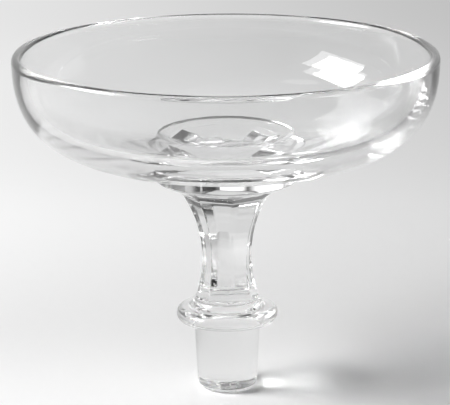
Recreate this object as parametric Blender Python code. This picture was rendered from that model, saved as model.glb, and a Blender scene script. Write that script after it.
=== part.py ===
"""Stemmed nappy dish of clear pressed glass.

A shallow, thick-walled round bowl stands on a waisted stem with eight flat panels.
A wafer of glass joins the bowl to the stem. Below the stem come a ring collar and
a plain tapered peg, which drops into a candle socket until the collar rests on it.

Units are metres and +Z is up. The origin is the centre of the peg's flat foot.
"""

import math

import bmesh
import bpy

# Clearance left between two pieces that are fused on the real dish
JOIN_GAP = 0.0003

# Peg, sized for a candle socket
PEG_LENGTH = 0.0235
PEG_TOP_RADIUS = 0.0111
PEG_FOOT_RADIUS = 0.0100
PEG_FOOT_ROUND = 0.0028

# Ring collar, a disc with a half-round edge
COLLAR_RADIUS = 0.0170
COLLAR_THICKNESS = 0.0045

# Panelled stem; its radii are to the corners between the panels
PANEL_COUNT = 8
STEM_LENGTH = 0.0414
STEM_TOP_RADIUS = 0.0187
STEM_SHOULDER_RADIUS = 0.0146
STEM_SHOULDER_HEIGHT = 0.0384
STEM_WAIST_RADIUS = 0.0084
STEM_WAIST_HEIGHT = 0.0169
STEM_NECK_HEIGHT = 0.0034
STEM_NECK_TRIM = 0.0002
STEM_FOOT_RADIUS = 0.0128
STEM_FOOT_EDGE = 0.0008
PANEL_RUNOUT_RADIUS = 0.0024
PANEL_RUNOUT_END = math.radians(261.0)
PANEL_TOOL_MARGIN = 0.0020

# Wafer, a disc with a bevelled underside and a flat seat on each side
WAFER_THICKNESS = 0.0065
WAFER_RADIUS = 0.0234
WAFER_EDGE_HEIGHT = 0.0020
WAFER_TOP_ROUND = 0.0004
WAFER_SEAT_LEDGE = 0.0003

# Bowl; its outside is one curve from the rim to the seat, steered by two handles
BOWL_HEIGHT = 0.0379
BOWL_RADIUS = 0.0700
RIM_THICKNESS = 0.0034
FLOOR_THICKNESS = 0.0099
WALL_HANDLE = 0.0275
FLOOR_HANDLE = 0.0292
FLOOR_RISE_ANGLE = math.radians(7.0)

# Inside of the bowl, which leans in below the rim and bends into a level floor
INSIDE_LEAN = 0.0018
INSIDE_FLOOR_RADIUS = 0.0142
INSIDE_FLOOR_HANDLE = 0.0365

# Glass
GLASS_TINT = (0.93, 0.94, 0.94)
WAFER_TINT = (0.92, 0.93, 0.93)
GLASS_IOR = 1.5
POLISHED_ROUGHNESS = 0.02
PRESSED_ROUGHNESS = 0.03
RUBBED_ROUGHNESS = 0.04

# Facets
BOWL_SEGMENTS = 64
SMALL_SEGMENTS = 48
CURVE_STEPS = 16
ROUND_STEPS = 6
CREASE_ANGLE = math.radians(25.0)
MERGE_DISTANCE = 1e-6

# Heights at which the pieces stand on each other
COLLAR_BASE = PEG_LENGTH + JOIN_GAP
STEM_BASE = COLLAR_BASE + COLLAR_THICKNESS + JOIN_GAP
WAFER_BASE = STEM_BASE + STEM_LENGTH + JOIN_GAP
BOWL_BASE = WAFER_BASE + WAFER_THICKNESS + JOIN_GAP


def clear_scene():
    """Remove whatever the scene holds."""
    for item in list(bpy.data.objects):
        bpy.data.objects.remove(item, do_unlink=True)


def arc(centre, half_width, half_height, start, end, steps):
    """Points (r, z) on an ellipse or circle, from one angle to another, both ends included."""
    points = []
    for step in range(steps + 1):
        angle = start + (end - start) * step / steps
        points.append((centre[0] + half_width * math.cos(angle), centre[1] + half_height * math.sin(angle)))
    return points


def round_arc(centre, radius, start, end, steps):
    """Points (r, z) on a circle, from one angle to another."""
    return arc(centre, radius, radius, start, end, steps)


def bezier(start, handle_a, handle_b, end, steps):
    """Points (r, z) on a cubic curve, both ends included."""
    points = []
    for step in range(steps + 1):
        t = step / steps
        weights = ((1 - t) ** 3, 3 * t * (1 - t) ** 2, 3 * t * t * (1 - t), t ** 3)
        knots = (start, handle_a, handle_b, end)
        points.append(tuple(sum(w * k[axis] for w, k in zip(weights, knots)) for axis in (0, 1)))
    return points


def sweep_radius(rise, run):
    """Radius of the arc that leaves a waist upright and moves out by rise over a height run."""
    return (run * run + rise * rise) / (2 * rise)


def drop_repeats(points):
    """Leave out points that fall on the one before."""
    kept = [points[0]]
    for point in points[1:]:
        if math.dist(point, kept[-1]) > MERGE_DISTANCE:
            kept.append(point)
    return kept


def turned_mesh(name, profile, segments):
    """Turn an outline of (r, z) points, from axis to axis, into a closed solid."""
    bm = bmesh.new()
    verts = [bm.verts.new((r, 0.0, z)) for r, z in drop_repeats(profile)]
    edges = [bm.edges.new(pair) for pair in zip(verts, verts[1:])]
    bmesh.ops.spin(
        bm,
        geom=verts + edges,
        cent=(0.0, 0.0, 0.0),
        axis=(0.0, 0.0, 1.0),
        angle=math.tau,
        steps=segments,
        use_merge=True,
    )
    bmesh.ops.remove_doubles(bm, verts=bm.verts[:], dist=MERGE_DISTANCE)
    bmesh.ops.recalc_face_normals(bm, faces=bm.faces[:])
    mesh = bpy.data.meshes.new(name)
    bm.to_mesh(mesh)
    bm.free()
    return mesh


def panelled_mesh(name, profile, sides):
    """Draw an upright prism through corner radii (r, z), bottom to top, as a closed solid."""
    bm = bmesh.new()
    bmesh.ops.create_circle(bm, cap_ends=False, segments=sides, radius=profile[0][0])
    bmesh.ops.translate(bm, verts=bm.verts[:], vec=(0.0, 0.0, profile[0][1]))
    ring = bm.edges[:]
    for (radius, height), (next_radius, next_height) in zip(profile, profile[1:]):
        drawn = bmesh.ops.extrude_edge_only(bm, edges=ring)["geom"]
        corners = [item for item in drawn if isinstance(item, bmesh.types.BMVert)]
        ring = [item for item in drawn if isinstance(item, bmesh.types.BMEdge)]
        growth = next_radius / radius
        bmesh.ops.scale(bm, vec=(growth, growth, 1.0), verts=corners)
        bmesh.ops.translate(bm, vec=(0.0, 0.0, next_height - height), verts=corners)
    bmesh.ops.holes_fill(bm, edges=bm.edges[:], sides=sides)
    bmesh.ops.recalc_face_normals(bm, faces=bm.faces[:])
    mesh = bpy.data.meshes.new(name)
    bm.to_mesh(mesh)
    bm.free()
    return mesh


def glass(name, tint, roughness):
    """Clear glass with a faint tint."""
    material = bpy.data.materials.new(name)
    material.use_nodes = True
    shader = material.node_tree.nodes["Principled BSDF"]
    shader.inputs["Base Color"].default_value = (*tint, 1.0)
    shader.inputs["Roughness"].default_value = roughness
    shader.inputs["Metallic"].default_value = 0.0
    shader.inputs["IOR"].default_value = GLASS_IOR
    shader.inputs["Transmission Weight"].default_value = 1.0
    material.diffuse_color = (*tint, 1.0)
    return material


def place(name, mesh, height, material, parent):
    """Put a finished mesh in the scene as one named piece, standing at a height."""
    piece = bpy.data.objects.new(name, mesh)
    bpy.context.scene.collection.objects.link(piece)
    piece.location.z = height
    piece.parent = parent
    mesh.materials.append(material)
    shade(mesh)
    return piece


def shade(mesh):
    """Smooth the round faces and keep the creases."""
    mesh.shade_smooth()
    mesh.set_sharp_from_angle(angle=CREASE_ANGLE)


def make_peg(parent):
    """Plain tapered peg with a rounded lower edge and a flat foot."""
    lean = math.atan2(PEG_TOP_RADIUS - PEG_FOOT_RADIUS, PEG_LENGTH - PEG_FOOT_ROUND)
    round_centre = (PEG_FOOT_RADIUS - PEG_FOOT_ROUND, PEG_FOOT_ROUND)
    profile = [(0.0, PEG_LENGTH), (PEG_TOP_RADIUS, PEG_LENGTH)]
    profile += round_arc(round_centre, PEG_FOOT_ROUND, -lean, -math.pi / 2, ROUND_STEPS)
    profile.append((0.0, 0.0))
    mesh = turned_mesh("peg", profile, SMALL_SEGMENTS)
    return place("peg", mesh, 0.0, glass("peg_glass", GLASS_TINT, RUBBED_ROUGHNESS), parent)


def make_collar(parent):
    """Ring collar that carries the dish on the rim of a candle socket."""
    half = COLLAR_THICKNESS / 2
    profile = [(0.0, COLLAR_THICKNESS)]
    profile += round_arc((COLLAR_RADIUS - half, half), half, math.pi / 2, -math.pi / 2, 2 * ROUND_STEPS)
    profile.append((0.0, 0.0))
    mesh = turned_mesh("collar", profile, SMALL_SEGMENTS)
    return place("collar", mesh, COLLAR_BASE, glass("collar_glass", GLASS_TINT, PRESSED_ROUGHNESS), parent)


def panel_outline():
    """Corner radius of the panels against height, bottom to top, with the run-out at the foot.

    The panels follow one arc from the shoulder to below the waist. Above the shoulder they
    splay out in a straight bevel under the wafer. Near the foot they turn outwards on a
    tighter arc, tangent to the first, and so run out of the round foot.
    """
    sweep = sweep_radius(STEM_SHOULDER_RADIUS - STEM_WAIST_RADIUS, STEM_SHOULDER_HEIGHT - STEM_WAIST_HEIGHT)
    centre = (STEM_WAIST_RADIUS + sweep, STEM_WAIST_HEIGHT)
    top_angle = math.pi - math.asin((STEM_SHOULDER_HEIGHT - STEM_WAIST_HEIGHT) / sweep)
    splay = (STEM_TOP_RADIUS - STEM_SHOULDER_RADIUS) / (STEM_LENGTH - STEM_SHOULDER_HEIGHT)
    tool_top = (STEM_TOP_RADIUS + splay * PANEL_TOOL_MARGIN, STEM_LENGTH + PANEL_TOOL_MARGIN)
    neck_angle = math.pi + math.asin((STEM_WAIST_HEIGHT - STEM_NECK_HEIGHT) / sweep)
    shaft = round_arc(centre, sweep, neck_angle, top_angle, 2 * CURVE_STEPS)
    neck = shaft[0]
    inset = sweep - PANEL_RUNOUT_RADIUS
    runout_centre = (
        centre[0] + inset * math.cos(neck_angle),
        centre[1] + inset * math.sin(neck_angle),
    )
    runout = round_arc(runout_centre, PANEL_RUNOUT_RADIUS, PANEL_RUNOUT_END, neck_angle, ROUND_STEPS)
    outside = max(runout[0][0], STEM_FOOT_RADIUS / math.cos(math.pi / PANEL_COUNT)) + PANEL_TOOL_MARGIN
    skirt = [(outside, -PANEL_TOOL_MARGIN), (outside, runout[0][1])]
    return skirt + runout[:-1] + shaft + [tool_top], neck[0] - STEM_NECK_TRIM


def make_stem(parent):
    """Waisted stem: a turned body with eight panels cut down to its round foot."""
    panels, neck_radius = panel_outline()
    shoulder = max(radius for radius, _ in panels) + PANEL_TOOL_MARGIN
    flare = sweep_radius(STEM_FOOT_RADIUS - neck_radius, STEM_NECK_HEIGHT - STEM_FOOT_EDGE)
    flare_end = math.pi + math.atan2(
        STEM_NECK_HEIGHT - STEM_FOOT_EDGE, flare - (STEM_FOOT_RADIUS - neck_radius)
    )
    profile = [
        (0.0, STEM_LENGTH),
        (shoulder, STEM_LENGTH),
        (shoulder, STEM_WAIST_HEIGHT),
        (neck_radius, STEM_WAIST_HEIGHT),
    ]
    profile += round_arc((neck_radius + flare, STEM_NECK_HEIGHT), flare, math.pi, flare_end, ROUND_STEPS)
    profile += [(STEM_FOOT_RADIUS, 0.0), (0.0, 0.0)]
    body = turned_mesh("stem", profile, SMALL_SEGMENTS)
    stem = place("stem", body, STEM_BASE, glass("stem_glass", GLASS_TINT, PRESSED_ROUGHNESS), parent)

    tool_mesh = panelled_mesh("stem_panels", panels, PANEL_COUNT)
    tool = bpy.data.objects.new("stem_panels", tool_mesh)
    bpy.context.scene.collection.objects.link(tool)
    tool.parent = stem
    tool.hide_render = True
    tool.display_type = "WIRE"
    cut = stem.modifiers.new("panels", "BOOLEAN")
    cut.operation = "INTERSECT"
    cut.object = tool
    return stem


def make_wafer(parent):
    """Wafer of glass, widest at its edge, bevelled below, with a flat seat above and below."""
    shoulder = (WAFER_RADIUS - WAFER_TOP_ROUND, WAFER_EDGE_HEIGHT)
    shoulder_rise = WAFER_THICKNESS - WAFER_EDGE_HEIGHT
    profile = [(0.0, WAFER_THICKNESS)]
    profile += arc(shoulder, WAFER_TOP_ROUND, shoulder_rise, math.pi / 2, 0.0, ROUND_STEPS)
    profile += [(STEM_TOP_RADIUS + WAFER_SEAT_LEDGE, 0.0), (0.0, 0.0)]
    mesh = turned_mesh("wafer", profile, SMALL_SEGMENTS)
    return place("wafer", mesh, WAFER_BASE, glass("wafer_glass", WAFER_TINT, POLISHED_ROUGHNESS), parent)


def bowl_outside(rim_height):
    """Outer curve, from the rim down to the flat seat on the wafer."""
    seat = WAFER_RADIUS - WAFER_TOP_ROUND
    rise = FLOOR_HANDLE * math.sin(FLOOR_RISE_ANGLE)
    reach = FLOOR_HANDLE * math.cos(FLOOR_RISE_ANGLE)
    return bezier(
        (BOWL_RADIUS, rim_height),
        (BOWL_RADIUS, rim_height - WALL_HANDLE),
        (seat + reach, rise),
        (seat, 0.0),
        CURVE_STEPS,
    )


def bowl_inside(rim_height):
    """Inner curve, from the rim down to the level floor. The wall thickens on the way down."""
    rim_radius = BOWL_RADIUS - RIM_THICKNESS
    return bezier(
        (rim_radius, rim_height),
        (rim_radius - INSIDE_LEAN, FLOOR_THICKNESS),
        (INSIDE_FLOOR_RADIUS + INSIDE_FLOOR_HANDLE, FLOOR_THICKNESS),
        (INSIDE_FLOOR_RADIUS, FLOOR_THICKNESS),
        CURVE_STEPS,
    )


def make_bowl(parent):
    """Thick-walled bowl with a full round rim and a flat seat under its floor."""
    round_radius = RIM_THICKNESS / 2
    spring = BOWL_HEIGHT - round_radius
    rim = round_arc((BOWL_RADIUS - round_radius, spring), round_radius, math.pi, 0.0, 2 * ROUND_STEPS)
    profile = [(0.0, FLOOR_THICKNESS)] + bowl_inside(spring)[::-1] + rim
    profile += bowl_outside(spring) + [(0.0, 0.0)]
    mesh = turned_mesh("bowl", profile, BOWL_SEGMENTS)
    return place("bowl", mesh, BOWL_BASE, glass("bowl_glass", GLASS_TINT, POLISHED_ROUGHNESS), parent)


def main():
    clear_scene()
    dish = bpy.data.objects.new("nappy_dish", None)
    bpy.context.scene.collection.objects.link(dish)
    for maker in (make_peg, make_collar, make_stem, make_wafer, make_bowl):
        maker(dish)
    print("height", round(BOWL_BASE + BOWL_HEIGHT, 4), "width", 2 * BOWL_RADIUS)


main()
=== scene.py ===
# %% [markdown]
# # A stemmed nappy dish in clear pressed glass
#
# The dish is five masses of glass that a glassmaker joined while they were hot: a shallow bowl,
# a wafer, a panelled stem, a ring collar and a peg that drops into a candle socket. The frame
# gives each one as a plain solid at its real size. This lesson models each again with a finer
# skin, gives it a glass that bends light, and sets it on a pale floor beside one large softbox.
# Lengths are in metres, Z is up, and the dish stands on its peg at the origin.

# %% Load the frame
import math

import bmesh
import bpy
from mathutils import Matrix, Vector, geometry


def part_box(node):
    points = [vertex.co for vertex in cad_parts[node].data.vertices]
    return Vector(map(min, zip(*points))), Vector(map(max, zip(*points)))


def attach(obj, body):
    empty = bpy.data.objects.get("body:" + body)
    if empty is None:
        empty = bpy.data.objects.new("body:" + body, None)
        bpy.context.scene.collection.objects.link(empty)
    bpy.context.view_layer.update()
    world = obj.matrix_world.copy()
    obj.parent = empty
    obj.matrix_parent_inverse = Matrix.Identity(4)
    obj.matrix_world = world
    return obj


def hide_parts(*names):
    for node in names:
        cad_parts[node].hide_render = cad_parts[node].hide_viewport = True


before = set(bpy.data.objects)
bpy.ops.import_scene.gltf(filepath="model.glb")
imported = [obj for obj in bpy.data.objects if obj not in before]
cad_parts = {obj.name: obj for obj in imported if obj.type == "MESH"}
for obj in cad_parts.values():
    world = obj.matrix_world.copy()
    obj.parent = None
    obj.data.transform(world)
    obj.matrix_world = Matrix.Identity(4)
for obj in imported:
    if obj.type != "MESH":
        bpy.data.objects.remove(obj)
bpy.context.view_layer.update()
scene = bpy.context.scene
scene.view_settings.view_transform = "Standard"

# %% [markdown]
# ## Light in thick glass
#
# Light crosses many faces of the dish before it leaves. Blender ends a path after a few bounces,
# which would leave dark patches inside the glass. A clear plastic look with no bending needs
# fewer, but it would not look solid. So the limits go up, and the two settings that soften or
# cap bright light go to nothing, which keeps the bright streak that the peg throws on the floor.

# %% Light paths
LIGHT_BOUNCES = 40

scene.cycles.max_bounces = LIGHT_BOUNCES
scene.cycles.glossy_bounces = LIGHT_BOUNCES
scene.cycles.transmission_bounces = LIGHT_BOUNCES
scene.cycles.transparent_max_bounces = LIGHT_BOUNCES
scene.cycles.blur_glossy = 0.0
scene.cycles.sample_clamp_indirect = 0.0
print("light paths: up to", LIGHT_BOUNCES, "bounces")

# %% [markdown]
# ## Drawing an outline and turning it
#
# Four of the pieces are round, so each could be a stack of cylinders with rounded edges. A
# glassmaker's way is closer to the truth: draw half of the cross-section once, then turn it
# about the upright axis. Straight runs need only their ends. A round run is an arc or a Bezier
# curve, and Blender's own interpolate_bezier gives its points.

# %% Outline and turning helpers
MERGE_DISTANCE = 1e-7


def point(radius, height):
    """A point of an outline, on the +X side of the upright axis."""
    return Vector((radius, 0.0, height))


def arc(centre, half_width, half_height, start, end, count):
    """Points on a round or oval corner, from one angle to another, both ends included."""
    turns = [math.radians(start + (end - start) * step / (count - 1)) for step in range(count)]
    return [centre + point(half_width * math.cos(t), half_height * math.sin(t)) for t in turns]


def turn_outline(outline, segments):
    """Turn an outline that starts and ends on the axis into a closed skin."""
    skin = bmesh.new()
    corners = [skin.verts.new(place) for place in outline]
    runs = [skin.edges.new(pair) for pair in zip(corners, corners[1:])]
    bmesh.ops.spin(
        skin,
        geom=corners + runs,
        cent=(0.0, 0.0, 0.0),
        axis=(0.0, 0.0, 1.0),
        angle=math.tau,
        steps=segments,
        use_merge=True,
    )
    bmesh.ops.remove_doubles(skin, verts=skin.verts[:], dist=MERGE_DISTANCE)
    bmesh.ops.recalc_face_normals(skin, faces=skin.faces[:])
    return skin


print("helpers ready: arcs and turned outlines")

# %% [markdown]
# ## Where the pieces meet
#
# On the real dish the pieces are fused, so light crosses a join without bending. In the frame
# they stand 0.3 mm apart, and a gap of air would show as a mirror inside the glass. They could
# be welded into one mesh, but then the pieces would be lost. So each piece grows into half of
# the gap, up to a hair's breadth, and the two faces of a join get a finish that lets light
# straight through. The pieces stay separate and closed.

# %% Heights of the joins
FUSE_HAIR = 0.00001
FUSED_SLOT = 1


def join_height(lower, upper):
    """Height halfway between two pieces that stand on each other."""
    return (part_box(lower)[1].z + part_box(upper)[0].z) / 2


def mark_join(skin, height, radius):
    """Give the fused finish to the flat faces at one height, out to a radius."""
    marked = 0
    for face in skin.faces:
        flat = all(abs(corner.co.z - height) < FUSE_HAIR / 2 for corner in face.verts)
        inside = all(corner.co.xy.length < radius + MERGE_DISTANCE for corner in face.verts)
        if flat and inside:
            face.material_index = FUSED_SLOT
            marked += 1
    return marked


PEG_JOIN = join_height("peg", "collar")
COLLAR_JOIN = join_height("collar", "stem")
STEM_JOIN = join_height("stem", "wafer")
WAFER_JOIN = join_height("wafer", "bowl")
print("joins at", [round(z, 5) for z in (PEG_JOIN, COLLAR_JOIN, STEM_JOIN, WAFER_JOIN)])

# %% [markdown]
# ## Short ways to add nodes
#
# A finish is a tree of nodes. It could be wired by hand in the Shader Editor, but a script gives
# the same result each time. Three helpers cover most of the wiring here: one adds a node with
# its values, one stretches a value from one range to another, and one does a sum on two values.

# %% Node helpers


def add_node(tree, kind, **values):
    """Add a node and set its input sockets or its own settings by name."""
    node = tree.nodes.new(kind)
    for name, value in values.items():
        if name in node.inputs:
            node.inputs[name].default_value = value
        else:
            setattr(node, name, value)
    return node


def stretch(tree, source, span, ends, curve="LINEAR"):
    """A value that runs between two ends while its source crosses a span."""
    change = add_node(tree, "ShaderNodeMapRange", interpolation_type=curve)
    names = ("From Min", "From Max", "To Min", "To Max")
    for name, value in zip(names, (*span, *ends)):
        change.inputs[name].default_value = value
    tree.links.new(source, change.inputs["Value"])
    return change.outputs["Result"]


def combine(tree, operation, first, second):
    """One value made from two, such as their product or the larger one."""
    both = add_node(tree, "ShaderNodeMath", operation=operation)
    tree.links.new(first, both.inputs[0])
    tree.links.new(second, both.inputs[1])
    return both.outputs["Value"]


print("node helpers ready")

# %% [markdown]
# ## The glass
#
# Clear glass takes its looks from what stands round it. A Glass BSDF would do, but a Principled
# shader with full transmission bends and reflects light in the same way and is kept by an
# export. Fire polish leaves the glass smooth, so the roughness is nothing. Its faint streaks of
# tint and a weak ripple come from noise on Object coordinates, so they stay on the piece.

# %% Clear glass
GLASS_IOR = 1.5
FIRE_POLISH = 0.0
STREAK_SCALE, STREAK_DETAIL = 90.0, 3.0
COOL_STREAK = (0.925, 0.93, 0.93, 1.0)
PALE_STREAK = (0.945, 0.945, 0.945, 1.0)
RIPPLE_SCALE, RIPPLE_DETAIL = 160.0, 1.0
BOWL_RIPPLE = 0.000008
SMALL_RIPPLE = 0.000002


def clear_glass(name, ripple):
    """Fire-polished glass; ripple is the height of its bump."""
    material = bpy.data.materials.new(name)
    material.use_nodes = True
    tree = material.node_tree
    shader = tree.nodes["Principled BSDF"]
    shader.inputs["Transmission Weight"].default_value = 1.0
    shader.inputs["IOR"].default_value = GLASS_IOR
    shader.inputs["Roughness"].default_value = FIRE_POLISH
    place = add_node(tree, "ShaderNodeTexCoord")
    streaks = add_node(tree, "ShaderNodeTexNoise", Scale=STREAK_SCALE, Detail=STREAK_DETAIL)
    tree.links.new(place.outputs["Object"], streaks.inputs["Vector"])
    tint = add_node(tree, "ShaderNodeValToRGB")
    tint.color_ramp.elements[0].color = COOL_STREAK
    tint.color_ramp.elements[1].color = PALE_STREAK
    tree.links.new(streaks.outputs["Fac"], tint.inputs["Fac"])
    tree.links.new(tint.outputs["Color"], shader.inputs["Base Color"])
    waves = add_node(tree, "ShaderNodeTexNoise", Scale=RIPPLE_SCALE, Detail=RIPPLE_DETAIL)
    tree.links.new(place.outputs["Object"], waves.inputs["Vector"])
    bump = add_node(tree, "ShaderNodeBump", Strength=1.0, Distance=ripple)
    tree.links.new(waves.outputs["Fac"], bump.inputs["Height"])
    tree.links.new(bump.outputs["Normal"], shader.inputs["Normal"])
    return material


print("clear glass bends light by", GLASS_IOR)

# %% Fused join


def fused_join():
    """The two faces of a fused join: light goes straight through."""
    material = bpy.data.materials.new("fused_join")
    material.use_nodes = True
    tree = material.node_tree
    tree.nodes.clear()
    through = add_node(tree, "ShaderNodeBsdfTransparent")
    output = add_node(tree, "ShaderNodeOutputMaterial")
    tree.links.new(through.outputs["BSDF"], output.inputs["Surface"])
    return material


FUSED = fused_join()
print("finish for joins:", FUSED.name)

# %% [markdown]
# ## Finishing a piece
#
# Every piece ends the same way: smooth shading with its creases kept, its two finishes, a place
# under the root body, and the frame's solid hidden. A helper does this, so that no piece misses
# a step.

# %% Piece helper
CREASE = math.radians(32.0)


def finish_piece(name, skin, finish, node):
    """Turn a finished skin into an object that stands for one solid of the frame."""
    mesh = bpy.data.meshes.new(name)
    skin.to_mesh(mesh)
    skin.free()
    mesh.shade_smooth()
    mesh.set_sharp_from_angle(angle=CREASE)
    mesh.materials.append(finish)
    mesh.materials.append(FUSED)
    piece = bpy.data.objects.new(name, mesh)
    scene.collection.objects.link(piece)
    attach(piece, "root")
    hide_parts(node)
    print(name, "faces", len(mesh.polygons), "size", [round(v, 4) for v in piece.dimensions])


print("creases are kept from", round(math.degrees(CREASE)), "degrees")

# %% [markdown]
# ## The bowl
#
# The bowl is one thick shell. Its wall could be a sphere cut off at the top, but the real one is
# flatter below and nearly upright at the rim, which one Bezier curve follows. The inside has a
# curve of its own: it leans in below the rim and bends into a level floor, so the glass is thin
# at the rim and thickest over the wafer. The rim is a full round, drawn up a little taller than
# a half circle, as fire polish leaves it.

# %% Bowl sizes
BOWL_SEGMENTS = 384
WALL_POINTS = 96
RIM_POINTS = 33
RIM_THICKNESS = 0.0034
RIM_TALLER = 1.25
FLOOR_THICKNESS = 0.0099
WALL_HANDLE = 0.0275
FLOOR_HANDLE = 0.0292
FLOOR_RISE = math.radians(7.0)
INSIDE_LEAN = 0.0018
INSIDE_FLOOR_RADIUS = 0.0142
INSIDE_FLOOR_HANDLE = 0.0365
SEAT_RADIUS = 0.0230

bowl_low, bowl_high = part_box("bowl")
BOWL_RADIUS = bowl_high.x
RIM_ROUND = RIM_THICKNESS / 2
RIM_RISE = RIM_ROUND * RIM_TALLER
RIM_SPRING = bowl_high.z - RIM_RISE
FLOOR_TOP = bowl_low.z + FLOOR_THICKNESS
BOWL_SEAT = WAFER_JOIN + FUSE_HAIR / 2
print("bowl radius", round(BOWL_RADIUS, 4), "floor at", round(FLOOR_TOP, 4))

# %% Bowl outline
reach = FLOOR_HANDLE * Vector((math.cos(FLOOR_RISE), 0.0, math.sin(FLOOR_RISE)))
outside = geometry.interpolate_bezier(
    point(BOWL_RADIUS, RIM_SPRING),
    point(BOWL_RADIUS, RIM_SPRING - WALL_HANDLE),
    point(SEAT_RADIUS, BOWL_SEAT) + reach,
    point(SEAT_RADIUS, BOWL_SEAT),
    WALL_POINTS,
)
inside = geometry.interpolate_bezier(
    point(BOWL_RADIUS - RIM_THICKNESS, RIM_SPRING),
    point(BOWL_RADIUS - RIM_THICKNESS - INSIDE_LEAN, FLOOR_TOP),
    point(INSIDE_FLOOR_RADIUS + INSIDE_FLOOR_HANDLE, FLOOR_TOP),
    point(INSIDE_FLOOR_RADIUS, FLOOR_TOP),
    WALL_POINTS,
)
rim_centre = point(BOWL_RADIUS - RIM_ROUND, RIM_SPRING)
rim = arc(rim_centre, RIM_ROUND, RIM_RISE, 180.0, 0.0, RIM_POINTS)
bowl_outline = [point(0.0, FLOOR_TOP), *reversed(inside), *rim[1:-1], *outside]
bowl_outline.append(point(0.0, BOWL_SEAT))
print("bowl outline:", len(bowl_outline), "points")

# %% Bowl
bowl_skin = turn_outline(bowl_outline, BOWL_SEGMENTS)
print("bowl faces on the join:", mark_join(bowl_skin, BOWL_SEAT, SEAT_RADIUS))
finish_piece("clear_bowl", bowl_skin, clear_glass("fire_polished_bowl", BOWL_RIPPLE), "bowl")

# %% [markdown]
# ## The stem
#
# The stem was pressed in a mould with eight flat panels. They follow one long arc in at the
# waist and out again to a shoulder, splay out under the wafer, and near the foot they run out in
# arcs on a round flare. It could be cut with a Boolean, as the frame's solid is, but that leaves
# knife edges. Here a round tube of rings is drawn up the stem, and each ring is pressed to the
# shape that the mould has at its height, with corners as soft as fire polish leaves them.

# %% Stem sizes
PANELS = 8
STEM_RING_POINTS = PANELS * 24
STEM_RINGS = 240
STEM_TOP_RADIUS = 0.0187
STEM_SHOULDER_RADIUS = 0.0146
STEM_SHOULDER_HEIGHT = 0.0384
STEM_WAIST_RADIUS = 0.0084
STEM_WAIST_HEIGHT = 0.0169
STEM_NECK_HEIGHT = 0.0034
STEM_NECK_TRIM = 0.0002
STEM_FOOT_RADIUS = 0.0128
STEM_FOOT_EDGE = 0.0008
RUNOUT_RADIUS = 0.0024
RUNOUT_END = 0.97
CORNER_SOFTNESS = 0.00012
RUNOUT_SOFTNESS = 0.00010
SHOULDER_SOFTNESS = 0.00005

stem_low, stem_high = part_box("stem")
STEM_LENGTH = stem_high.z - stem_low.z
STEM_BASE = COLLAR_JOIN + FUSE_HAIR / 2
STEM_TOP = STEM_JOIN - FUSE_HAIR / 2
print("stem length", round(STEM_LENGTH, 4), "with", PANELS, "panels")

# %% Curve of the panels
rise, run = STEM_SHOULDER_RADIUS - STEM_WAIST_RADIUS, STEM_SHOULDER_HEIGHT - STEM_WAIST_HEIGHT
SWEEP = (run * run + rise * rise) / (2 * rise)
SPLAY = (STEM_TOP_RADIUS - STEM_SHOULDER_RADIUS) / (STEM_LENGTH - STEM_SHOULDER_HEIGHT)
neck_turn = math.asin((STEM_WAIST_HEIGHT - STEM_NECK_HEIGHT) / SWEEP)
runout_centre = point(
    STEM_WAIST_RADIUS + SWEEP - (SWEEP - RUNOUT_RADIUS) * math.cos(neck_turn),
    STEM_WAIST_HEIGHT - (SWEEP - RUNOUT_RADIUS) * math.sin(neck_turn),
)


def waist_radius(height):
    """Radius to the corners of the panels at a height above the stem's foot."""
    return STEM_WAIST_RADIUS + SWEEP - math.sqrt(SWEEP**2 - (height - STEM_WAIST_HEIGHT) ** 2)


def soft_least(first, second, softness):
    """The smaller of two sizes, blended where they are nearly equal."""
    near = max(softness * 4 - abs(first - second), 0.0) / (softness * 4)
    return min(first, second) - near * near * softness


def corner_radius(height):
    """Corner radius with the splay above the shoulder and the run-out below the neck."""
    if height >= STEM_NECK_HEIGHT:
        splayed = STEM_SHOULDER_RADIUS + SPLAY * (height - STEM_SHOULDER_HEIGHT)
        return -soft_least(-waist_radius(height), -splayed, SHOULDER_SOFTNESS)
    drop = min(abs(height - runout_centre.z), RUNOUT_END * RUNOUT_RADIUS)
    below = max(0.0, runout_centre.z - height)
    return runout_centre.x - math.sqrt(RUNOUT_RADIUS**2 - drop**2) + below


print("panels sweep on a radius of", round(SWEEP, 4))

# %% Foot and panels together
NECK_RADIUS = waist_radius(STEM_NECK_HEIGHT) - STEM_NECK_TRIM
flare_rise, flare_run = STEM_FOOT_RADIUS - NECK_RADIUS, STEM_NECK_HEIGHT - STEM_FOOT_EDGE
FLARE = (flare_run**2 + flare_rise**2) / (2 * flare_rise)


def foot_radius(height):
    """Radius of the round foot: a flare below the neck, and no limit above it."""
    if height <= STEM_FOOT_EDGE:
        return STEM_FOOT_RADIUS
    if height >= STEM_NECK_HEIGHT:
        return NECK_RADIUS + (height - STEM_NECK_HEIGHT)
    return NECK_RADIUS + FLARE - math.sqrt(FLARE**2 - (height - STEM_NECK_HEIGHT) ** 2)


def stem_radius(angle, height):
    """Radius of the pressed stem at an angle round it and a height above its foot."""
    apothem = corner_radius(height) * math.cos(math.pi / PANELS)
    step = math.tau / PANELS
    across = (angle % step) - step / 2
    this_panel = apothem / math.cos(across)
    next_panel = apothem / math.cos(step - abs(across))
    panel = soft_least(this_panel, next_panel, CORNER_SOFTNESS)
    return soft_least(panel, foot_radius(height), RUNOUT_SOFTNESS)


print("round neck of the foot", round(NECK_RADIUS, 5))

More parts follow.
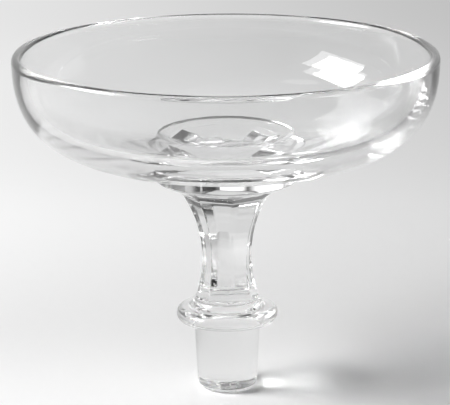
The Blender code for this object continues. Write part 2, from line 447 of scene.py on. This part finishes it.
# %% Tube of rings
stem_skin = bmesh.new()
bmesh.ops.create_circle(
    stem_skin, cap_ends=True, segments=STEM_RING_POINTS, radius=STEM_FOOT_RADIUS
)
bmesh.ops.translate(stem_skin, verts=stem_skin.verts[:], vec=(0.0, 0.0, STEM_BASE))
ring_step = (STEM_TOP - STEM_BASE) / STEM_RINGS
ring = stem_skin.edges[:]
for _ in range(STEM_RINGS):
    drawn = bmesh.ops.extrude_edge_only(stem_skin, edges=ring)["geom"]
    ring = [item for item in drawn if isinstance(item, bmesh.types.BMEdge)]
    moved = [item for item in drawn if isinstance(item, bmesh.types.BMVert)]
    bmesh.ops.translate(stem_skin, verts=moved, vec=(0.0, 0.0, ring_step))
bmesh.ops.holes_fill(stem_skin, edges=stem_skin.edges[:], sides=0)
bmesh.ops.recalc_face_normals(stem_skin, faces=stem_skin.faces[:])
print("tube of", STEM_RINGS, "rings,", len(stem_skin.verts), "points")

# %% Stem
for corner in stem_skin.verts:
    height = min(max(corner.co.z - stem_low.z, 0.0), STEM_LENGTH)
    wanted = stem_radius(math.atan2(corner.co.y, corner.co.x), height)
    corner.co.xy *= wanted / corner.co.xy.length
print("stem faces on the lower join:", mark_join(stem_skin, STEM_BASE, STEM_TOP_RADIUS))
print("stem faces on the upper join:", mark_join(stem_skin, STEM_TOP, STEM_TOP_RADIUS))
finish_piece("panelled_stem", stem_skin, clear_glass("pressed_stem", SMALL_RIPPLE), "stem")

# %% [markdown]
# ## The wafer
#
# A wafer is the blob of hot glass that sticks the bowl to the stem. A squashed sphere would look
# soft, and the real one is a disc, upright at the side and bevelled below, so it is turned like
# the bowl. Its lower seat has the eight sides of the stem: the ring of points at that seat is
# moved to the stem's own outline, so that the two joined faces are the same shape.

# %% Wafer outline
SMALL_SEGMENTS = STEM_RING_POINTS
WAFER_SHOULDER = 0.0004
WAFER_EDGE = 0.0020
WAFER_EDGE_ROUND = 0.0006
WAFER_ARC_POINTS = 12
STEM_SEAT = 0.0190

wafer_low, wafer_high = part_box("wafer")
WAFER_RADIUS = wafer_high.x
WAFER_TOP = WAFER_JOIN - FUSE_HAIR / 2
WAFER_FOOT = STEM_JOIN + FUSE_HAIR / 2
edge_height = wafer_low.z + WAFER_EDGE
bevel = math.atan2(edge_height - WAFER_FOOT, WAFER_RADIUS - STEM_SEAT)
side_end = edge_height + WAFER_EDGE_ROUND / math.tan((math.pi / 2 + bevel) / 2)
shoulder_centre = point(WAFER_RADIUS - WAFER_SHOULDER, side_end)
shoulder_rise = WAFER_TOP - side_end
edge_centre = point(WAFER_RADIUS - WAFER_EDGE_ROUND, side_end)
edge_stop = math.degrees(bevel) - 90.0
edge = arc(edge_centre, WAFER_EDGE_ROUND, WAFER_EDGE_ROUND, 0.0, edge_stop, WAFER_ARC_POINTS)
wafer_outline = [
    point(0.0, WAFER_TOP),
    *arc(shoulder_centre, WAFER_SHOULDER, shoulder_rise, 90.0, 0.0, WAFER_ARC_POINTS),
    *edge[1:],
    point(STEM_SEAT, WAFER_FOOT),
    point(STEM_TOP_RADIUS, WAFER_FOOT),
    point(0.0, WAFER_FOOT),
]
print("wafer outline:", len(wafer_outline), "points, bevel", round(math.degrees(bevel), 1))

# %% Wafer
wafer_skin = turn_outline(wafer_outline, SMALL_SEGMENTS)
for corner in wafer_skin.verts:
    on_seat = abs(corner.co.z - WAFER_FOOT) < FUSE_HAIR / 2
    if on_seat and abs(corner.co.xy.length - STEM_TOP_RADIUS) < MERGE_DISTANCE:
        wanted = stem_radius(math.atan2(corner.co.y, corner.co.x), STEM_LENGTH)
        corner.co.xy *= wanted / corner.co.xy.length
print("wafer faces on the upper join:", mark_join(wafer_skin, WAFER_TOP, SEAT_RADIUS))
print("wafer faces on the lower join:", mark_join(wafer_skin, WAFER_FOOT, STEM_TOP_RADIUS))
wafer_glass = clear_glass("fire_polished_wafer", SMALL_RIPPLE)
finish_piece("joining_wafer", wafer_skin, wafer_glass, "wafer")

# %% [markdown]
# ## The collar
#
# The ring collar is a thick disc with a half-round edge, and it rests on the rim of a candle
# socket. A torus would give the edge but leave a hole to fill, so the outline is drawn with a
# half circle and turned whole.

# %% Collar
COLLAR_ARC_POINTS = 33

COLLAR_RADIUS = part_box("collar")[1].x
COLLAR_FOOT = PEG_JOIN + FUSE_HAIR / 2
COLLAR_TOP = COLLAR_JOIN - FUSE_HAIR / 2
PEG_TOP_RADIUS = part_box("peg")[1].x
collar_round = (COLLAR_TOP - COLLAR_FOOT) / 2
collar_centre = point(COLLAR_RADIUS - collar_round, (COLLAR_TOP + COLLAR_FOOT) / 2)
collar_outline = [
    point(0.0, COLLAR_TOP),
    point(STEM_FOOT_RADIUS, COLLAR_TOP),
    *arc(collar_centre, collar_round, collar_round, 90.0, -90.0, COLLAR_ARC_POINTS),
    point(PEG_TOP_RADIUS, COLLAR_FOOT),
    point(0.0, COLLAR_FOOT),
]
collar_skin = turn_outline(collar_outline, SMALL_SEGMENTS)
print("collar faces on the upper join:", mark_join(collar_skin, COLLAR_TOP, STEM_FOOT_RADIUS))
print("collar faces on the lower join:", mark_join(collar_skin, COLLAR_FOOT, PEG_TOP_RADIUS))
collar_glass = clear_glass("fire_polished_collar", SMALL_RIPPLE)
finish_piece("ring_collar", collar_skin, collar_glass, "collar")

# %% [markdown]
# ## The rubbed foot of the peg
#
# The underside of the peg is ground, and years of standing have rubbed it, so it is dull in
# specks. An image of scratches could be painted, but it would need a flat map of the peg. Noise
# on Object coordinates needs none: below a height it makes the glass rough, a little less clear
# and pitted, and above that height the peg stays bright.

# %% Rubbed glass
RUBBED_BELOW, CLEAR_ABOVE = 0.0007, 0.0010
SPECK_SCALE, SPECK_DETAIL = 420.0, 4.0
SPECK_SPAN = (0.44, 0.58)
SPECK_ROUGHNESS = 0.28
SPECK_CLEARNESS = 0.85
SPECK_DEPTH = 0.00014


def rub_foot(material):
    """Roughen the lowest part of a glass, in specks, as rubbing on tables does."""
    tree = material.node_tree
    shader = tree.nodes["Principled BSDF"]
    place = add_node(tree, "ShaderNodeTexCoord")
    level = add_node(tree, "ShaderNodeSeparateXYZ")
    tree.links.new(place.outputs["Object"], level.inputs["Vector"])
    low_part = stretch(tree, level.outputs["Z"], (RUBBED_BELOW, CLEAR_ABOVE), (1.0, 0.0))
    specks = add_node(tree, "ShaderNodeTexNoise", Scale=SPECK_SCALE, Detail=SPECK_DETAIL)
    tree.links.new(place.outputs["Object"], specks.inputs["Vector"])
    worn = stretch(tree, specks.outputs["Fac"], SPECK_SPAN, (0.0, 1.0))
    amount = combine(tree, "MULTIPLY", low_part, worn)
    rough = stretch(tree, amount, (0.0, 1.0), (FIRE_POLISH, SPECK_ROUGHNESS))
    tree.links.new(rough, shader.inputs["Roughness"])
    clear = stretch(tree, amount, (0.0, 1.0), (1.0, SPECK_CLEARNESS))
    tree.links.new(clear, shader.inputs["Transmission Weight"])
    bump = add_node(tree, "ShaderNodeBump", Strength=1.0, Distance=SPECK_DEPTH)
    tree.links.new(amount, bump.inputs["Height"])
    tree.links.new(shader.inputs["Normal"].links[0].from_socket, bump.inputs["Normal"])
    tree.links.new(bump.outputs["Normal"], shader.inputs["Normal"])
    return material


peg_glass = rub_foot(clear_glass("rubbed_peg", SMALL_RIPPLE))
print(peg_glass.name, "is dull below", RUBBED_BELOW)

# %% [markdown]
# ## The peg
#
# The peg is a plain plug that tapers a little, so that it drops into a candle socket. A cone
# with a Bevel would come close, but the underside of the real one is slightly hollow, and the
# peg stands on a narrow ring round it. So the lower edge, the ring and the hollow are all drawn
# in one outline. The hollow also keeps the glass from lying in the same plane as the floor.

# %% Peg
PEG_FOOT_RADIUS = 0.0100
PEG_FOOT_ROUND = 0.0028
PEG_ARC_POINTS = 17
PEG_RING_RADIUS = 0.0064
HOLLOW_RADIUS = 0.0056
HOLLOW_EDGE, HOLLOW_MIDDLE = 0.0005, 0.0006

PEG_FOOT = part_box("peg")[0].z
PEG_TOP = PEG_JOIN - FUSE_HAIR / 2
taper = math.degrees(math.atan2(PEG_TOP_RADIUS - PEG_FOOT_RADIUS, PEG_TOP - PEG_FOOT_ROUND))
foot_centre = point(PEG_FOOT_RADIUS - PEG_FOOT_ROUND, PEG_FOOT + PEG_FOOT_ROUND)
peg_outline = [
    point(0.0, PEG_TOP),
    point(PEG_TOP_RADIUS, PEG_TOP),
    *arc(foot_centre, PEG_FOOT_ROUND, PEG_FOOT_ROUND, -taper, -90.0, PEG_ARC_POINTS),
    point(PEG_RING_RADIUS, PEG_FOOT),
    point(HOLLOW_RADIUS, PEG_FOOT + HOLLOW_EDGE),
    point(0.0, PEG_FOOT + HOLLOW_MIDDLE),
]
peg_skin = turn_outline(peg_outline, SMALL_SEGMENTS)
print("peg faces on the join:", mark_join(peg_skin, PEG_TOP, PEG_TOP_RADIUS))
finish_piece("tapered_peg", peg_skin, peg_glass, "peg")

# %% [markdown]
# ## The camera
#
# The camera looks down at the dish from about four-fifths of a metre, through a long lens. It
# could be aimed with a Track To constraint, but that gives no roll, so the turns are multiplied
# as matrices. The camera is turned a little round the dish, so that a corner of the stem faces
# just right of the lens. The floor, the lamps and the room are laid out with the same turn.

# %% Camera
IMAGE_WIDTH = 450
SENSOR_WIDTH = 36.0
LENS_PIXELS = 2430.0
CAMERA_DISTANCE = 0.780
CAMERA_HEIGHT = 0.2703
CAMERA_PITCH = math.radians(14.82)
CAMERA_ROLL = math.radians(-0.35)
CAMERA_TURN = math.radians(-7.0)
AIM_LEFT_PIXELS = 1.55

lens = bpy.data.cameras.new("studio_lens")
lens.sensor_width = SENSOR_WIDTH
lens.lens = lens.sensor_width * LENS_PIXELS / IMAGE_WIDTH
camera = bpy.data.objects.new("studio_camera", lens)
scene.collection.objects.link(camera)
scene.camera = camera
turned = Matrix.Rotation(CAMERA_TURN, 3, "Z")
aim = Matrix.Rotation(AIM_LEFT_PIXELS / LENS_PIXELS, 3, "Z")
tilt = Matrix.Rotation(math.pi / 2 - CAMERA_PITCH, 3, "X")
roll = Matrix.Rotation(CAMERA_ROLL, 3, "Z")
camera.location = turned @ Vector((0.0, -CAMERA_DISTANCE, CAMERA_HEIGHT))
camera.rotation_euler = (turned @ aim @ tilt @ roll).to_euler()
print("camera at", [round(v, 3) for v in camera.location])

# %% [markdown]
# ## The floor
#
# A sheet of pale paper carries the dish and its shadow. A curved sweep of paper would do for one
# picture, but the dish is seen from all sides, so the floor is flat and wide. Painted light and
# shade are laid in the colour of the paper, and drift along a few directions: each row below is
# a direction, where the drift starts and ends, and the tone at those two places.

# %% Floor
FLOOR_HALF = 4.0

floor_skin = bmesh.new()
bmesh.ops.create_grid(floor_skin, x_segments=1, y_segments=1, size=FLOOR_HALF)
floor_mesh = bpy.data.meshes.new("pale_floor")
floor_skin.to_mesh(floor_mesh)
floor_skin.free()
floor = bpy.data.objects.new("pale_floor", floor_mesh)
scene.collection.objects.link(floor)
print("floor", FLOOR_HALF * 2, "m across")

# %% Drift helper
AWAY, RIGHTWARD, UP = (0.0, 1.0, 0.0), (1.0, 0.0, 0.0), (0.0, 0.0, 1.0)


def drift(tree, place, direction, span, ends):
    """A value that changes smoothly along one fixed direction of the turned scene."""
    along = add_node(tree, "ShaderNodeVectorMath", operation="DOT_PRODUCT")
    along.inputs[1].default_value = turned @ Vector(direction)
    tree.links.new(place, along.inputs[0])
    return stretch(tree, along.outputs["Value"], span, ends, curve="SMOOTHSTEP")


print("away from the camera is", [round(v, 3) for v in turned @ Vector(AWAY)])

# %% Painted light and shade on the paper
NEAR_RIGHT = (1.0, -1.0, 0.0)
PAPER_ROUGHNESS = 0.9
# Painted light and shade: paler near the camera and far back, darkest just behind the dish, a
# painted shadow at the near right, and painted shade far to the left, under the softbox, and far
# to the right.
PAINTED_LIGHT_AND_SHADE = [
    (AWAY, (0.02, 0.26), (0.76, 0.965)),
    (AWAY, (-0.04, 0.08), (1.16, 1.0)),
    (NEAR_RIGHT, (0.015, 0.070), (1.0, 0.84)),
    (RIGHTWARD, (-0.65, -0.12), (0.42, 1.0)),
    (RIGHTWARD, (0.12, 0.32), (1.0, 0.60)),
]

paper = bpy.data.materials.new("pale_paper")
paper.use_nodes = True
floor_mesh.materials.append(paper)
sheet = paper.node_tree
matt = sheet.nodes["Principled BSDF"]
matt.inputs["Roughness"].default_value = PAPER_ROUGHNESS
matt.inputs["Specular IOR Level"].default_value = 0.0
spot = add_node(sheet, "ShaderNodeTexCoord").outputs["Object"]
tone = drift(sheet, spot, *PAINTED_LIGHT_AND_SHADE[0])
for row in PAINTED_LIGHT_AND_SHADE[1:]:
    tone = combine(sheet, "MULTIPLY", tone, drift(sheet, spot, *row))
sheet.links.new(tone, matt.inputs["Base Color"])
print(paper.name, "drifts along", len(PAINTED_LIGHT_AND_SHADE), "directions")

# %% [markdown]
# ## The pale distance
#
# Far behind the dish the paper fades into a pale backdrop. Lamps strong enough to light it would
# burn out the glass. So the far floor gives off its own tone, and Light Path lets only the
# camera, and glass that mirrors or bends the view, see it. It lights no other part of the floor.

# %% Far end of the floor
# The glow is painted light: paler to the left, towards the softbox, darker to the right, and a
# little brighter nearer the dish.
HAZE_COLOUR = (RIGHTWARD, (-0.25, 0.25), (0.82, 0.50))
HAZE_STRENGTH = (AWAY, (0.35, 0.75), (1.14, 1.0))
HAZE_START = (AWAY, (0.15, 0.55), (0.0, 1.0))

haze = add_node(sheet, "ShaderNodeEmission")
sheet.links.new(drift(sheet, spot, *HAZE_COLOUR), haze.inputs["Color"])
sheet.links.new(drift(sheet, spot, *HAZE_STRENGTH), haze.inputs["Strength"])
ray = add_node(sheet, "ShaderNodeLightPath").outputs
seen = combine(sheet, "MAXIMUM", ray["Is Camera Ray"], ray["Is Transmission Ray"])
seen = combine(sheet, "MAXIMUM", seen, ray["Is Glossy Ray"])
share = combine(sheet, "MULTIPLY", seen, drift(sheet, spot, *HAZE_START))
blend = add_node(sheet, "ShaderNodeMixShader")
sheet.links.new(share, blend.inputs["Fac"])
sheet.links.new(matt.outputs["BSDF"], blend.inputs[1])
sheet.links.new(haze.outputs["Emission"], blend.inputs[2])
sheet.links.new(blend.outputs["Shader"], sheet.nodes["Material Output"].inputs["Surface"])
print("pale distance from", HAZE_START[1][0], "m behind the dish")

# %% [markdown]
# ## The softbox
#
# One large softbox stands to the left. Its mirror image is the white mark inside the bowl, and
# its light makes the shadow and the bright streak on the floor. One area lamp would give an even
# mark. A real softbox is brightest round its bulb, so a smaller lamp in front of the cloth is
# its core, and the two together give the mark its paler edge.

# %% Lamps
AIM_HEIGHT = 0.09
BOX_ROLL = math.radians(-5.0)
CLOTH = dict(turn=-79.0, rise=31.0, distance=1.0, width=0.63, height=0.434, power=4.3)
CORE = dict(turn=-83.0, rise=32.5, distance=0.98, width=0.48, height=0.36, power=9.3)


def way_to(turn, rise):
    """Direction at a turn from the camera's side, left being minus, and a rise, in degrees."""
    turn, rise = math.radians(turn), math.radians(rise)
    return Vector((math.sin(turn), -math.cos(turn), math.tan(rise))).normalized()


def area_lamp(name, turn, rise, distance, width, height, power):
    """A rectangular lamp that faces the dish."""
    towards = turned @ way_to(turn, rise)
    lamp = bpy.data.lights.new(name, "AREA")
    lamp.shape = "RECTANGLE"
    lamp.size = width
    lamp.size_y = height
    lamp.energy = power
    holder = bpy.data.objects.new(name, lamp)
    holder.location = Vector((0.0, 0.0, AIM_HEIGHT)) + towards * distance
    facing_dish = (-towards).to_track_quat("-Z", "Y").to_matrix()
    holder.rotation_euler = (facing_dish @ Matrix.Rotation(BOX_ROLL, 3, "Z")).to_euler()
    scene.collection.objects.link(holder)
    print(name, "at", [round(v, 3) for v in holder.location])


area_lamp("softbox", **CLOTH)
area_lamp("softbox_core", **CORE)

# %% [markdown]
# ## The room
#
# Glass shows the room in its edges: pale walls make it bright, and dark ones draw the grey lines
# of the rim and the stem. An image of a room could light the world, but a few smooth changes of
# tone are enough, and they can be set one by one. The wall behind and to the left is pale, so is
# the paper that sweeps up behind the dish, and the rest is dark. Two round cards give the white
# patches on the front of the bowl and on the wafer.

# %% Cards in the room
WALL_CARD = dict(turn=-109.0, rise=43.0, edge=15.0, middle=9.0, glow=1.2)
HIGH_CARD = dict(turn=-111.0, rise=65.5, edge=8.0, middle=4.5, glow=1.3)

world = bpy.data.worlds.new("studio")
world.use_nodes = True
scene.world = world
room = world.node_tree
look = add_node(room, "ShaderNodeTexCoord").outputs["Generated"]


def soft_card(turn, rise, edge, middle, glow):
    """A round pale card, whole in its middle and faded out at its edge; angles in degrees."""
    span = (math.cos(math.radians(edge)), math.cos(math.radians(middle)))
    return drift(room, look, way_to(turn, rise), span, (0.0, glow))


cards = combine(room, "MAXIMUM", soft_card(**WALL_CARD), soft_card(**HIGH_CARD))
print("cards glow", WALL_CARD["glow"], "and", HIGH_CARD["glow"])

# %% Walls of the room
ROOM_DARK = 0.03
ROOM_PALE = 0.70
SWEEP_PALE = 0.75
BRIGHT_TURN = -130.0
BRIGHT_SPAN = (-0.05, 0.25)
SWEEP_HEIGHT = (0.22, 0.42)
SWEEP_SIDE = (0.0, 0.12)
CAMERA_SIDE, CAMERA_SIDE_SHARE = (-0.85, 0.10), 0.35
CEILING_SPAN, CEILING_SHARE = (0.50, 0.85), 0.20

bright_wall = drift(room, look, way_to(BRIGHT_TURN, 0.0), BRIGHT_SPAN, (ROOM_DARK, ROOM_PALE))
sweep_rise = drift(room, look, UP, SWEEP_HEIGHT, (SWEEP_PALE, 0.0))
sweep_side = drift(room, look, AWAY, SWEEP_SIDE, (0.0, 1.0))
walls = combine(room, "MAXIMUM", bright_wall, combine(room, "MULTIPLY", sweep_rise, sweep_side))
camera_side = drift(room, look, AWAY, CAMERA_SIDE, (CAMERA_SIDE_SHARE, 1.0))
ceiling = drift(room, look, UP, CEILING_SPAN, (1.0, CEILING_SHARE))
for shade in (camera_side, ceiling):
    walls = combine(room, "MULTIPLY", walls, shade)
total = combine(room, "ADD", walls, cards)
room.links.new(total, room.nodes["Background"].inputs["Color"])
print("walls from", ROOM_DARK, "to", SWEEP_PALE)
